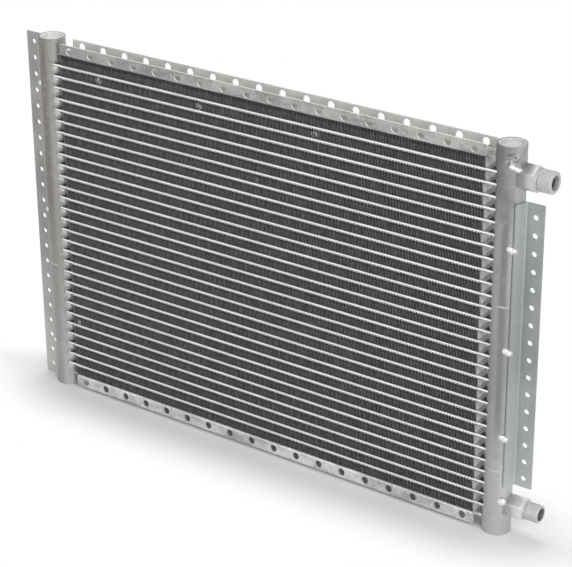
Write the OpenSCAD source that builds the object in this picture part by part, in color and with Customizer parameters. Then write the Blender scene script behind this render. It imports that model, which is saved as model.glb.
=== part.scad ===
// Microchannel condenser coil. Two round headers are joined by flat multi-port tubes
// with folded fins between them. A channel-shaped side plate closes the core above
// and below, a folded bracket runs down the outer side of each header, and two
// threaded fittings stand out of the right header. Sizes are in millimetres, +Z is
// up, and the front is towards -Y. The origin is level with the lower ends of the
// headers, on their axis plane, under the middle of the overall width.

/* [Core] */
// Distance between the two header axes
core_w = 490; // [440:1:540]
// Number of flat tubes
tube_count = 29; // [27:1:31]
// Height from one flat tube to the next
tube_pitch = 11; // [10:0.1:12]
// Depth of a flat tube from front to back
tube_depth = 19; // [17:0.1:19.5]
// Thickness of a flat tube
tube_t = 2; // [1.8:0.1:2.4]
// Number of ports inside a flat tube
port_count = 10; // [6:1:12]
// Width of one port
port_w = 1.2; // [0.8:0.1:1.3]
// Height of one port
port_h = 1; // [0.6:0.1:1.2]
// Distance from the end of a flat tube to the header axis
tube_stop = 4; // [3:0.1:5]

/* [Fins] */
// Length of one fold of a fin, from crest to crest
fold_pitch = 18.5; // [16:0.5:30]
// Sheet thickness of a fin, measured along the height
fin_t = 0.64; // [0.4:0.02:1]
// Distance from the left end of a fin to the left header axis
left_fin_stop = 16.5; // [15.5:0.1:26]
// Distance from the right end of a fin to the right header axis
right_fin_stop = 18; // [16:0.1:26]

/* [Headers] */
// Outer diameter of a header
header_d = 25.4; // [25:0.1:28]
// Wall thickness of a header
header_wall = 1.6; // [1.4:0.1:2]
// Height of a header past the outermost flat tube
header_end = 24; // [23:0.5:30]
// Depth of the dished wall beside each tube slot
dish_depth = 1.1; // [0.4:0.1:1.2]
// Height of the dished wall round each tube slot
dish_h = 9.4; // [5:0.1:9.6]
// Arc of the dished wall, in degrees
dish_arc = 112; // [104:1:130]
// Height of an end cap
cap_h = 4; // [3:0.1:6]
// Sheet thickness of an end cap
cap_t = 1.5; // [1:0.1:2]
// Thickness of a baffle
baffle_t = 1.5; // [1:0.1:2.5]
// Reach of a baffle slit past the header axis, towards the tubes
slit_reach = 3; // [0:0.5:4]

/* [Passes] */
// Flat tubes in the first pass, from the top
pass_1 = 11; // [9:1:12]
// Flat tubes in the second pass
pass_2 = 8; // [6:1:9]
// Flat tubes in the third pass
pass_3 = 6; // [4:1:6]

/* [Side plates] */
// Sheet thickness of a side plate
plate_t = 1.4; // [1:0.1:2]
// Overall depth of a side plate
plate_depth = 20; // [19.6:0.1:22]
// Overall height of a side plate
plate_h = 11.5; // [10:0.1:14]
// Inner bend radius of a side plate
plate_bend = 1; // [0.5:0.1:2]
// Distance from the end of a flange to the header axis
plate_stop = 18; // [17:0.5:24]
// Radius of the free corners of a flange
plate_corner = 1.5; // [0.5:0.5:5]
// Diameter of a flange hole
plate_hole = 7; // [5:0.1:7.5]
// Distance from one flange hole to the next
plate_hole_pitch = 25.4; // [20:0.1:30]
// Number of holes in a flange
plate_hole_count = 18; // [8:1:18]
// Height of the flange holes above the fins
plate_hole_z = 6; // [5:0.1:7]

/* [Brackets] */
// Sheet thickness of a bracket
bracket_t = 1.6; // [1.2:0.1:2]
// Lean of the leg that lies on the header, in degrees
bracket_lean = 20; // [12:1:28]
// Length of the left leg in front of its line of contact
left_lip = 2; // [1.6:0.1:3]
// Length of the right leg in front of its line of contact
right_lip = 5.5; // [4:0.1:7]
// Inner bend radius of a bracket
bracket_bend = 1.2; // [0.8:0.1:2]
// Distance of the flange front face behind the header axes
bracket_y = 0.5; // [-0.5:0.1:1.5]
// Reach of the flange from the header axis
bracket_reach = 31.6; // [29:0.1:38]
// Distance of the bracket holes from the header axis
bracket_hole_x = 23.7; // [22.5:0.1:25]
// Diameter of a bracket hole
bracket_hole = 5; // [4:0.1:6]
// Distance from one bracket hole to the next
bracket_hole_pitch = 16; // [12:0.5:20]
// Distance from the outermost bracket holes to the bracket ends, at least
bracket_margin = 9; // [7:0.5:16]
// Distance of the left bracket from the header ends
left_bracket_end = 1; // [0:0.5:10]
// Distance of the right bracket from the hexagons of the fittings
right_bracket_end = 9.5; // [3:0.5:30]
// Height of the right row of holes above mid-height
right_hole_lift = -1.8; // [-4:0.1:4]

/* [Fittings] */
// Distance of the fitting axes from the header ends
fitting_end = 26.6; // [22:0.1:32]
// Distance of the fitting axes behind the header axes
fitting_y = 1.5; // [0:0.1:2]
// Inlet hexagon, across flats
inlet_hex = 20.6; // [19.6:0.1:22]
// Inlet hexagon end, from the header axis
inlet_hex_end = 25; // [22:0.1:28]
// Inlet thread diameter
inlet_d = 19.05; // [18:0.05:19.5]
// Inlet end, from the header axis
inlet_end = 39.6; // [36:0.1:48]
// Inlet bore
inlet_bore = 8; // [6:0.1:10]
// Inlet mouth, where the bore widens at the free end
inlet_mouth = 13; // [11:0.1:14]
// Depth of the inlet mouth
inlet_mouth_depth = 3; // [2:0.1:6]
// Outlet hexagon, across flats
outlet_hex = 19.05; // [17:0.05:20]
// Outlet hexagon end, from the header axis
outlet_hex_end = 27.5; // [24:0.1:30]
// Outlet thread diameter
outlet_d = 15.9; // [15:0.05:16.5]
// Outlet end, from the header axis
outlet_end = 42.2; // [39:0.1:50]
// Outlet bore
outlet_bore = 11; // [8:0.1:11.5]
// Outlet mouth, where the bore widens at the free end
outlet_mouth = 12; // [11.6:0.1:13]
// Depth of the outlet mouth
outlet_mouth_depth = 0.5; // [0.3:0.1:3]
// Wall of the spigot that enters the header
spigot_wall = 1.3; // [1:0.1:1.5]
// Length of the plain neck between hexagon and thread
neck_len = 3; // [2:0.1:5]
// Depth of the neck below the thread crests
neck_cut = 1.1; // [0.6:0.1:1.3]
// Chamfer at the free end of a thread
end_chamfer = 0.9; // [0.5:0.1:1.5]

/* [Welds] */
// Radius of a tack weld on the right bracket
tack_r = 3.9; // [3.4:0.1:4]
// Height of a tack weld on the right bracket above the header wall
tack_rise = 3.2; // [2.8:0.1:3.6]
// Radius of a tack weld on the left bracket
left_tack_r = 3; // [2.8:0.1:3.2]
// Height of a tack weld on the left bracket above the header wall
left_tack_rise = 2.4; // [2.2:0.1:2.6]
// Radius of the ripples of the inlet weld
bead_r = 2.4; // [2:0.1:2.6]
// Height of the ripples of the inlet weld above the header wall
bead_rise = 1.5; // [1.2:0.1:1.6]
// Radius of the round outlet weld
dome_r = 4.6; // [3.8:0.1:4.8]
// Height of the round outlet weld above the header wall
dome_rise = 3.6; // [3:0.1:3.8]
// Heights of the left bracket welds, as shares of half the bracket
left_welds = [0.75, 0.03, -0.76]; // [-0.95:0.01:0.95]
// Heights of the right bracket welds, as shares of half the bracket
right_welds = [0.69, -0.015, -0.64]; // [-0.95:0.005:0.95]
// Angle in front of the fittings where the inlet weld begins
weld_from = 60; // [50:1:62]
// Angle in front of the fittings where the inlet weld ends
weld_to = 26; // [20:1:36]
// Angle in front of the fittings of the outlet weld
dome_angle = 42; // [36:1:44]

/* [Fits] */
// Clearance of a tube, baffle or spigot in its opening
slot_gap = 0.1; // [0.05:0.01:0.2]
// Clearance of fins between tubes and of caps and plates on the headers
seat_gap = 0.02; // [0.01:0.01:0.1]

/* [Hidden] */
$fn = 48;
header_r = header_d/2;
header_in = header_r - header_wall;
header_len = (tube_count - 1)*tube_pitch + 2*header_end;
mid_z = header_len/2;
fitting_z = mid_z - fitting_end;
fin_h = tube_pitch - tube_t;
fin_len = core_w - left_fin_stop - right_fin_stop;
fold_count = floor(fin_len/fold_pitch);
tube_len = core_w - 2*tube_stop;
port_pitch = (tube_depth - tube_t)/(port_count - 0.3);
plate_z = (tube_count - 1)*tube_pitch/2 + tube_t/2 + fin_h;
flange_len = core_w - 2*plate_stop;
tongue_w = plate_depth - 2*(plate_bend + plate_t);
left_bracket_h = header_len - 2*left_bracket_end;
right_bracket_h = 2*(fitting_z - max(inlet_hex, outlet_hex)/2/cos(30) - right_bracket_end);
shift_x = (bracket_reach - max(inlet_end, outlet_end))/2;
pass_ends = [0, pass_1, pass_1 + pass_2, pass_1 + pass_2 + pass_3, tube_count + 1];
tube_names = [for (i = [1:tube_count]) str("flat_tube_", i)];
fin_names = [for (p = [1:4]) str("fin_pack_", p)];
silver = [0.80, 0.81, 0.82];
dull = [0.62, 0.63, 0.62];
bright = [0.92, 0.93, 0.94];
dark = [0.30, 0.31, 0.32];

// Height of a flat tube, counted from the top, above mid-height
function tube_z(i) = ((tube_count + 1)/2 - i)*tube_pitch;
// Height of the baffle below a flat tube
function baffle_z(i) = tube_z(i) - tube_pitch/2;
// Height of hole i of n in a row about the middle
function row_at(i, n, pitch) = (i - (n + 1)/2)*pitch;

// Puts the core's middle at its place over the origin
module place() {
    translate([shift_x, 0, mid_z]) children();
}

// Puts a shape, drawn for the right header on its axis, on one of the headers
module on_header(side) {
    place() mirror([side < 0 ? 1 : 0, 0, 0]) translate([core_w/2, 0, 0]) children();
}

// Outline of a flat tube with round edges, grown by a clearance
module tube_outline(gap) {
    r = tube_t/2 + gap;
    half = tube_depth/2 - tube_t/2;
    translate([-half, -r]) square([2*half, 2*r]);
    for (s = [-1, 1]) translate([s*half, 0]) circle(r = r);
}

// Lies a section, drawn with its width along X and height along Y, along the X axis
module along_x(length) {
    rotate([90, 0, 90]) linear_extrude(height = length, center = true) children();
}

// One flat tube with its row of ports
module flat_tube(i) {
    color(silver) place() translate([0, 0, tube_z(i)]) along_x(tube_len)
        difference() {
            tube_outline(0);
            for (k = [1:port_count])
                translate([row_at(k, port_count, port_pitch) - port_w/2, -port_h/2])
                    square([port_w, port_h]);
        }
}

// Place of a trough or crest of the folded sheet, counted from its left end
function crest_x(k) = left_fin_stop - core_w/2 + k*fin_len/(2*fold_count);
// Upper line of the folded sheet, from left to right
function fold_line() = [
    for (k = [0:2*fold_count])
        [crest_x(k), k % 2 == 0 ? fin_t + seat_gap : fin_h - seat_gap]
];
// Lower line of the folded sheet, from right to left
function fold_under() = [
    for (k = [2*fold_count:-1:0])
        [crest_x(k), k % 2 == 0 ? seat_gap : fin_h - seat_gap - fin_t]
];

// The fins of one pass, a folded sheet above each of its tubes
module fin_pack(p) {
    color(dark) place()
        for (i = [pass_ends[p - 1] + 1:pass_ends[p]])
            translate([0, 0, tube_z(i) + tube_t/2]) rotate([90, 0, 0])
                linear_extrude(height = tube_depth, center = true)
                    polygon(concat(fold_line(), fold_under()));
}

// Ring-shaped groove that dishes the wall at one tube slot
module slot_dish() {
    out = 1;
    rise = dish_h/2*(dish_depth + out)/dish_depth;
    rotate([0, 0, 180 - dish_arc/2]) rotate_extrude(angle = dish_arc)
        polygon([[header_r - dish_depth, 0], [header_r + out, -rise], [header_r + out, rise]]);
}

// Slit for a baffle in the outer half of the wall
module baffle_slit() {
    t = baffle_t + 2*slot_gap;
    translate([-slit_reach, -header_r - 1, -t/2]) cube([header_r + slit_reach + 1, header_d + 2, t]);
}

// Header with its tube slots and the slits of the baffles below the listed tubes
module header_body(baffle_tubes) {
    difference() {
        cylinder(h = header_len, r = header_r, center = true);
        cylinder(h = header_len + 2, r = header_in, center = true);
        for (i = [1:tube_count]) translate([0, 0, tube_z(i)]) {
            slot_dish();
            translate([-header_r, 0, 0]) along_x(2*header_r - 2) tube_outline(slot_gap);
        }
        for (i = baffle_tubes) translate([0, 0, baffle_z(i)]) baffle_slit();
    }
}

module left_header() {
    color(dull) on_header(-1) header_body([pass_ends[2]]);
}

module right_header() {
    color(dull) on_header(1) difference() {
        header_body([pass_ends[1], pass_ends[3]]);
        port(1, inlet_bore);
        port(-1, outlet_bore);
    }
}

// Hole in the header for the spigot of a fitting
module port(up, bore) {
    translate([0, fitting_y, up*fitting_z]) rotate([0, 90, 0])
        cylinder(h = header_r + 1, r = bore/2 + spigot_wall + slot_gap);
}

// Cup-shaped end cap, pressed in flush with the end of a header
module end_cap(side, up) {
    r = header_in - seat_gap;
    color(bright) on_header(side) mirror([0, 0, up < 0 ? 1 : 0])
        translate([0, 0, mid_z - cap_h]) rotate_extrude()
            polygon([[0, 0], [r, 0], [r, cap_h], [r - 0.6, cap_h],
                     [r - cap_t, cap_h - 0.9], [r - cap_t, cap_t + 0.8],
                     [r - cap_t - 0.8, cap_t], [0, cap_t]]);
}

// Baffle: a disc inside the header whose outer half fills the slit in the wall
module baffle(side, i) {
    color(silver) on_header(side) translate([0, 0, baffle_z(i) - baffle_t/2]) {
        cylinder(h = baffle_t, r = header_in - slot_gap);
        intersection() {
            cylinder(h = baffle_t, r = header_r);
            translate([slot_gap - slit_reach, -header_r, 0])
                cube([header_r + slit_reach, header_d, baffle_t]);
        }
    }
}

// Section of a side plate, a channel that opens upwards
module channel_section() {
    big = plate_bend + plate_t;
    w = plate_depth;
    difference() {
        union() {
            translate([-w/2, big]) square([w, plate_h - big]);
            translate([-w/2 + big, 0]) square([w - 2*big, big]);
            for (s = [-1, 1]) translate([s*(w/2 - big), big]) circle(r = big);
        }
        translate([-w/2 + plate_t, big]) square([w - 2*plate_t, plate_h]);
        translate([-w/2 + big, plate_t]) square([w - 2*big, plate_h]);
        for (s = [-1, 1]) translate([s*(w/2 - big), big]) circle(r = plate_bend);
    }
}

// Rounding of the free corner at one end of both flanges
module corner_cut() {
    rotate([90, 0, 0]) linear_extrude(height = plate_depth + 2, center = true)
        difference() {
            translate([-plate_corner, -plate_corner]) square(plate_corner + 1);
            translate([-plate_corner, -plate_corner]) circle(r = plate_corner);
        }
}

// Side plate with two rows of holes and a tongue that is coped round each header
module side_plate(up) {
    half = core_w/2 - header_r/2;
    color(silver) place() mirror([0, 0, up < 0 ? 1 : 0]) translate([0, 0, plate_z + seat_gap])
        difference() {
            union() {
                along_x(flange_len) channel_section();
                translate([-half, -tongue_w/2, 0]) cube([2*half, tongue_w, plate_t]);
            }
            for (s = [-1, 1]) {
                translate([s*core_w/2, 0, -1]) cylinder(h = plate_h, r = header_r + seat_gap);
                translate([s*flange_len/2, 0, plate_h]) mirror([s < 0 ? 1 : 0, 0, 0]) corner_cut();
            }
            for (k = [1:plate_hole_count])
                translate([row_at(k, plate_hole_count, plate_hole_pitch), 0, plate_hole_z])
                    rotate([90, 0, 0]) cylinder(h = plate_depth + 2, d = plate_hole, center = true);
        }
}

// Inner face of the leg, measured from the header axis
leg_r = header_r + seat_gap;
// Centre of the fold of a bracket
fold_y = bracket_y - bracket_bend;
fold_x = (leg_r + bracket_t + bracket_bend + fold_y*sin(bracket_lean))/cos(bracket_lean);
// Length of the leg behind its line of contact
leg_len = fold_x*sin(bracket_lean) + fold_y*cos(bracket_lean);
// Back face of the flange, and where it would meet the inner face of the leg
back_y = bracket_y + bracket_t;
back_x = (leg_r + back_y*sin(bracket_lean))/cos(bracket_lean);

// Point of the leg at a distance from the header axis and a place along the leg
function leg_at(r, s) = [
    r*cos(bracket_lean) + s*sin(bracket_lean),
    s*cos(bracket_lean) - r*sin(bracket_lean)
];

// Section of a bracket: a leg that lies on the header, a fold and a flange
module bracket_section(lip) {
    inner = leg_at(leg_r, leg_len);
    difference() {
        union() {
            polygon([leg_at(leg_r, -lip), leg_at(leg_r + bracket_t, -lip),
                     leg_at(leg_r + bracket_t, leg_len), [fold_x, fold_y], [fold_x, bracket_y],
                     [bracket_reach, bracket_y], [bracket_reach, back_y], [fold_x, back_y], inner]);
            intersection() {
                translate([fold_x, fold_y]) circle(r = bracket_bend + bracket_t);
                polygon([[fold_x, fold_y], [fold_x, back_y], [back_x, back_y], inner]);
            }
        }
        translate([fold_x, fold_y]) circle(r = bracket_bend);
    }
}

// Folded bracket with its row of holes
module bracket(side, lip, height, lift) {
    count = 1 + floor((height - 2*bracket_margin)/bracket_hole_pitch + 0.001);
    color(dull) on_header(side) difference() {
        linear_extrude(height = height, center = true) bracket_section(lip);
        for (k = [1:count])
            translate([bracket_hole_x, bracket_y, lift + row_at(k, count, bracket_hole_pitch)])
                rotate([90, 0, 0]) cylinder(h = 4*bracket_t, d = bracket_hole, center = true);
    }
}

// Profile of the turned end of a fitting, from the hexagon to the free end
module nipple(from, to, d) {
    r = d/2;
    rotate([0, 90, 0]) rotate_extrude()
        polygon([[0, from - 1], [r - neck_cut, from - 1], [r - neck_cut, from + neck_len - neck_cut],
                 [r, from + neck_len], [r, to - end_chamfer], [r - end_chamfer, to], [0, to]]);
}

// Hexagonal body, coped to the header, with its corners chamfered at the free end
module hex_body(hex, end) {
    corner = hex/2/cos(30);
    intersection() {
        rotate([0, 90, 0]) cylinder(h = end, r = corner, $fn = 6);
        rotate([0, 90, 0]) rotate_extrude()
            polygon([[0, 0], [corner + 1, 0], [corner + 1, end - 1.2], [hex/2 - 0.5, end], [0, end]]);
    }
}

// Fitting: a hexagonal body on the header, a threaded end and a spigot in the port
module fitting(up, hex, hex_end, d, end, bore, mouth, deep) {
    spigot_r = bore/2 + spigot_wall;
    color(silver) on_header(1) difference() {
        union() {
            difference() {
                translate([0, fitting_y, up*fitting_z]) {
                    hex_body(hex, hex_end);
                    nipple(hex_end, end, d);
                }
                cylinder(h = header_len, r = header_r + seat_gap, center = true);
            }
            translate([header_in/2, fitting_y, up*fitting_z]) rotate([0, 90, 0])
                cylinder(h = header_r, r = spigot_r);
        }
        translate([0, fitting_y, up*fitting_z]) rotate([0, 90, 0]) rotate_extrude()
            polygon([[0, 0], [bore/2, 0], [bore/2, end - deep],
                     [mouth/2, end], [mouth/2, end + 1], [0, end + 1]]);
    }
}

// One round spot of weld metal on the header wall, at an angle in front of the fittings
module weld_spot(angle, z, r, rise) {
    rotate([0, 0, -angle]) translate([header_r + rise - r, 0, z]) sphere(r = r);
}

// Room that the header and the hexagon of a fitting leave for no weld metal
module fitting_room(up, hex, end) {
    cylinder(h = header_len, r = header_r + seat_gap, center = true);
    translate([0, fitting_y, up*fitting_z]) rotate([0, 90, 0])
        cylinder(h = end, r = (hex/2 + seat_gap)/cos(30), $fn = 6);
}

// Weld of the inlet fitting: ripples that climb from the hexagon on to the header
module inlet_weld() {
    steps = 5;
    color(bright) on_header(1) difference() {
        for (k = [0:steps])
            weld_spot(weld_from + (weld_to - weld_from)*k/steps,
                fitting_z + inlet_hex/2 - bead_r*k/steps*1.7, bead_r, bead_rise + k/steps);
        fitting_room(1, inlet_hex, inlet_hex_end);
    }
}

// Weld of the outlet fitting: one round spot over the corner of the hexagon
module outlet_weld() {
    color(bright) on_header(1) difference() {
        weld_spot(dome_angle, outlet_hex/3 - fitting_z, dome_r, dome_rise);
        fitting_room(-1, outlet_hex, outlet_hex_end);
    }
}

// One tack weld over the front edge of a bracket, two spots wide
module tack_weld(lip, r, rise, from, to) {
    edge = bracket_lean + atan(lip/header_r);
    difference() {
        union() {
            weld_spot(edge + from, -r/5, r, rise);
            weld_spot(edge + to, r/5, 0.85*r, rise - r/4);
        }
        cylinder(h = 6*r, r = header_r + seat_gap, center = true);
        rotate([0, 0, -bracket_lean])
            translate([leg_r - seat_gap/2, -lip - seat_gap, -3*r])
                cube([bracket_t + seat_gap, lip + 3*r, 6*r]);
    }
}

// The tack welds of the left bracket, each at its share of half the bracket's height
module left_bracket_welds() {
    color(bright) on_header(-1)
        for (share = left_welds) translate([0, 0, share*left_bracket_h/2])
            tack_weld(left_lip, left_tack_r, left_tack_rise, 3, 20);
}

// The tack welds of the right bracket, each at its share of half the bracket's height
module right_bracket_welds() {
    color(bright) on_header(1)
        for (share = right_welds) translate([0, 0, share*right_bracket_h/2])
            tack_weld(right_lip, tack_r, tack_rise, -3, 10);
}

left_header();
right_header();
end_cap(-1, 1);  // left_top_cap
end_cap(-1, -1);  // left_bottom_cap
end_cap(1, 1);  // right_top_cap
end_cap(1, -1);  // right_bottom_cap
baffle(-1, pass_ends[2]);  // left_baffle
baffle(1, pass_ends[1]);  // right_upper_baffle
baffle(1, pass_ends[3]);  // right_lower_baffle
side_plate(1);  // top_side_plate
side_plate(-1);  // bottom_side_plate
bracket(-1, left_lip, left_bracket_h, 0);  // left_bracket
bracket(1, right_lip, right_bracket_h, right_hole_lift);  // right_bracket
fitting(1, inlet_hex, inlet_hex_end, inlet_d, inlet_end,  // inlet_fitting
        inlet_bore, inlet_mouth, inlet_mouth_depth);
fitting(-1, outlet_hex, outlet_hex_end, outlet_d, outlet_end,  // outlet_fitting
        outlet_bore, outlet_mouth, outlet_mouth_depth);
inlet_weld();
outlet_weld();
left_bracket_welds();
right_bracket_welds();
for (i = [1:tube_count])
    flat_tube(i);
for (p = [1:4])
    fin_pack(p);
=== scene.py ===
import math

import bpy
import numpy as np
from mathutils import Matrix, Vector


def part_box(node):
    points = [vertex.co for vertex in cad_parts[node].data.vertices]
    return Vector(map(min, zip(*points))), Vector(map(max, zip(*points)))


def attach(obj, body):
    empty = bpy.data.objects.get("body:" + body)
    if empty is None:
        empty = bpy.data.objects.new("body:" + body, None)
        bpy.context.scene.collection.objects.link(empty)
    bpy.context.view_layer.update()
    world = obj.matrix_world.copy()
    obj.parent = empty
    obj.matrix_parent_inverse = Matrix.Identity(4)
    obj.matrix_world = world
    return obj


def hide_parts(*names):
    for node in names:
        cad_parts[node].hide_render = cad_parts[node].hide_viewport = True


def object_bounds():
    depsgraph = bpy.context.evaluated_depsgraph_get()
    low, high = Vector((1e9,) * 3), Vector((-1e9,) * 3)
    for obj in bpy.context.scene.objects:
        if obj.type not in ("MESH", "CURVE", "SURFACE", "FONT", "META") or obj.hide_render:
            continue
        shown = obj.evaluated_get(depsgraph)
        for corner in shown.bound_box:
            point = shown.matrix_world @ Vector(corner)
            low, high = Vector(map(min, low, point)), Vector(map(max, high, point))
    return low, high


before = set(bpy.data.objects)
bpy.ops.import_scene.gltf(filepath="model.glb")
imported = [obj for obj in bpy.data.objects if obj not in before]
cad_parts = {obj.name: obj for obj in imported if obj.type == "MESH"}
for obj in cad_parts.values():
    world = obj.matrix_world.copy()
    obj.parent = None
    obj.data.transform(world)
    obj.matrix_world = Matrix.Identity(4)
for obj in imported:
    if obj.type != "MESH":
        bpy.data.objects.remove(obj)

bl_info = {
    "name": "Condenser Coil",
    "version": (1, 0, 0),
    "blender": (4, 5, 0),
    "location": "View3D > Sidebar > Coil",
    "description": "Fins, threads, finishes and studio for a microchannel condenser coil",
    "category": "Object",
}

CAD_BOX = [[float(v) for v in corner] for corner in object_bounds()]
PACKS = [f"fin_pack_{k}" for k in range(1, 5)]
TUBES = sorted(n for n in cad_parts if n.startswith("flat_tube_"))
# Bent fins in the second row from the top: place along X, height, sideways lean of the front edge
BENT_FINS = ((-0.0711, 0.3257, 0.0016), (0.0538, 0.3258, 0.0018), (-0.1872, 0.3266, 0.001))
# Nicks in the front of the fins, painted as highlights: place along X, height, half width, half
# height, strength
NICKS = ((-0.2266, 0.0718, 0.0018, 0.0024, 0.6), (-0.0083, 0.27, 0.0006, 0.0024, 0.9))
# Depth to which a bend reaches into the fins, and the width over which it dies away
BEND_DEPTH, BEND_WIDTH = 0.004, 0.004
# Every third row of fins has its full length
FULL_ROW_EVERY = 3
# Points of a strip's middle line that belong to the last wall at each end
TIP_POINTS = 3
# Start of the random draws
SEED = 7
# Thickness of the side plates and height of their bend
PLATE_SHEET, PLATE_BEND = 0.0014, 0.0025
# Soft lights: name, place and power in watts
LIGHTS = (("key_light", (1.9, -1.0, 0.9), 27.0),
          ("top_light", (-0.3, 0.4, 2.2), 14.0),
          ("front_light", (-0.9, -2.2, 0.8), 8.0))
LIGHT_AIM, LIGHT_SIZE = (0.016, 0.0, 0.174), 1.2
# Fitted camera: place, point it looks at, roll in degrees, focal length in pixels
CAMERA_PLACE, CAMERA_TARGET = (0.98093, -1.32339, 0.92172), (0.0159, 0.0, 0.1738)
CAMERA_ROLL, CAMERA_FOCAL = -0.387, 2019.7
# Width of the picture in pixels and of the sensor in millimetres, farthest distance that is seen
FRAME_W, SENSOR_WIDTH, CLIP_END = 572, 36.0, 20.0
# Half width of the floor, and its distance below the part
FLOOR_SPAN, FLOOR_DROP = 4.0, 0.0004
# Distances from the middle between which the floor turns white, along X and along Y, and the
# distance that the first adds to the second
SHADOW_X, SHADOW_Y, SHADOW_REACH = (0.22, 0.45), (0.015, 0.09), 0.1
# Strength of the light from all round
WORLD_STRENGTH = 0.45


def corners(node):
    """Lowest and highest corner of a solid, as arrays in metres."""
    low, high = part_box(node)
    return np.array(low, float), np.array(high, float)


class CoilSizes(bpy.types.PropertyGroup):
    """Sizes of the pieces that the scene adds to the solids."""

    fold_pitch: bpy.props.FloatProperty(
        name="Fold pitch", description="Length of one fold of a fin, from crest to crest",
        default=0.0029, min=0.002, max=0.006, precision=5, unit="LENGTH")
    fin_sheet: bpy.props.FloatProperty(
        name="Fin sheet", description="Thickness of the fin sheet",
        default=0.00022, min=0.00008, max=0.0004, precision=5, unit="LENGTH")
    fin_fillet: bpy.props.FloatProperty(
        name="Fin fillet",
        description="Thickness of a fin crest with the braze that joins it to a tube",
        default=0.0005, min=0.0001, max=0.0008, precision=5, unit="LENGTH")
    fin_crest: bpy.props.FloatProperty(
        name="Fin crest", description="Share of half a fold that lies flat on a tube",
        default=0.84, min=0.1, max=0.95, subtype="FACTOR")
    fin_waver: bpy.props.FloatProperty(
        name="Fin waver", description="How far a fold strays from its even place",
        default=0.0001, min=0.0, max=0.0006, precision=5, unit="LENGTH")
    fin_short: bpy.props.FloatProperty(
        name="Fin short",
        description="How much shorter than the longest a fin strip may be at its right end",
        default=0.0022, min=0.0, max=0.004, precision=5, unit="LENGTH")
    inlet_pitch: bpy.props.FloatProperty(
        name="Inlet thread pitch", description="Length of one turn of the inlet thread",
        default=0.0254 / 16, min=0.001, max=0.003, precision=5, unit="LENGTH")
    outlet_pitch: bpy.props.FloatProperty(
        name="Outlet thread pitch", description="Length of one turn of the outlet thread",
        default=0.0254 / 18, min=0.001, max=0.003, precision=5, unit="LENGTH")


def tint(name, description, default):
    """A colour property with three linear parts."""
    return bpy.props.FloatVectorProperty(
        name=name, description=description, default=default, size=3, min=0.0, max=1.0,
        subtype="COLOR")


class CoilColours(bpy.types.PropertyGroup):
    """Colours of the finishes, in linear values."""

    left_header: tint(
        "Left header", "Dull brazed aluminium of the left header", (0.30, 0.295, 0.285))
    right_header: tint(
        "Right header", "Dull brazed aluminium of the right header", (0.225, 0.23, 0.225))
    # Painted light: a lighter tone for the lower header ends
    lit_header_foot: tint("Header foot", "Cleaner metal at the lower header ends", (0.48, 0.49, 0.485))
    left_bracket: tint("Left bracket", "Mill finish of the left bracket", (0.355, 0.345, 0.335))
    right_bracket: tint("Right bracket", "Mill finish of the right bracket", (0.315, 0.335, 0.33))
    top_plate: tint("Top plate", "Satin sheet of the top side plate", (0.35, 0.355, 0.34))
    bottom_plate: tint("Bottom plate", "Satin sheet of the bottom side plate", (0.57, 0.575, 0.57))
    tube: tint("Flat tube", "Light edge of the flat tubes", (0.8, 0.81, 0.81))
    # Painted shade: the fin sheet's dark tone stands in for the shade between the folds
    fin: tint("Fin", "Folded sheet of the fins", (0.088, 0.089, 0.089))
    # The fin edge tone is partly the cut metal and partly painted light on the front edges and
    # crests
    fin_edge: tint("Fin edge", "Cut front edge and crests of the fins", (0.36, 0.365, 0.365))
    cap: tint("End cap", "Bright pressed caps of the right header", (0.56, 0.565, 0.56))
    left_cap: tint("Left end cap", "Bright pressed caps of the left header", (0.67, 0.675, 0.67))
    # The fittings are the same machined aluminium: the inlet's darker tone is painted shade and the
    # outlet's lighter tone is painted light
    inlet: tint("Inlet fitting", "Machined aluminium of the inlet fitting", (0.53, 0.53, 0.52))
    outlet: tint("Outlet fitting", "Machined aluminium of the outlet fitting", (0.72, 0.73, 0.725))
    thread: tint("Thread", "Bright cut metal of the threads", (0.5, 0.51, 0.505))
    weld: tint("Weld", "Bright weld metal", (0.7, 0.7, 0.69))
    inner: tint("Baffle", "Plain metal of the baffles", (0.50, 0.50, 0.50))
    floor: tint("Floor", "Pale studio floor", (0.9, 0.9, 0.9))


class Level:
    """A number carried by a shader socket. Arithmetic with it adds Math nodes."""

    def __init__(self, tree, socket):
        self.tree = tree
        self.socket = socket

    def _join(self, operation, first, second):
        node = self.tree.nodes.new("ShaderNodeMath")
        node.operation = operation
        for place, value in enumerate((first, second)):
            if isinstance(value, Level):
                self.tree.links.new(value.socket, node.inputs[place])
            else:
                node.inputs[place].default_value = value
        return Level(self.tree, node.outputs[0])

    def __add__(self, other):
        return self._join("ADD", self, other)

    def __radd__(self, other):
        return self._join("ADD", other, self)

    def __sub__(self, other):
        return self._join("SUBTRACT", self, other)

    def __rsub__(self, other):
        return self._join("SUBTRACT", other, self)

    def __mul__(self, other):
        return self._join("MULTIPLY", self, other)

    def __rmul__(self, other):
        return self._join("MULTIPLY", other, self)

    def __abs__(self):
        return self._join("ABSOLUTE", self, 0.0)


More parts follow.
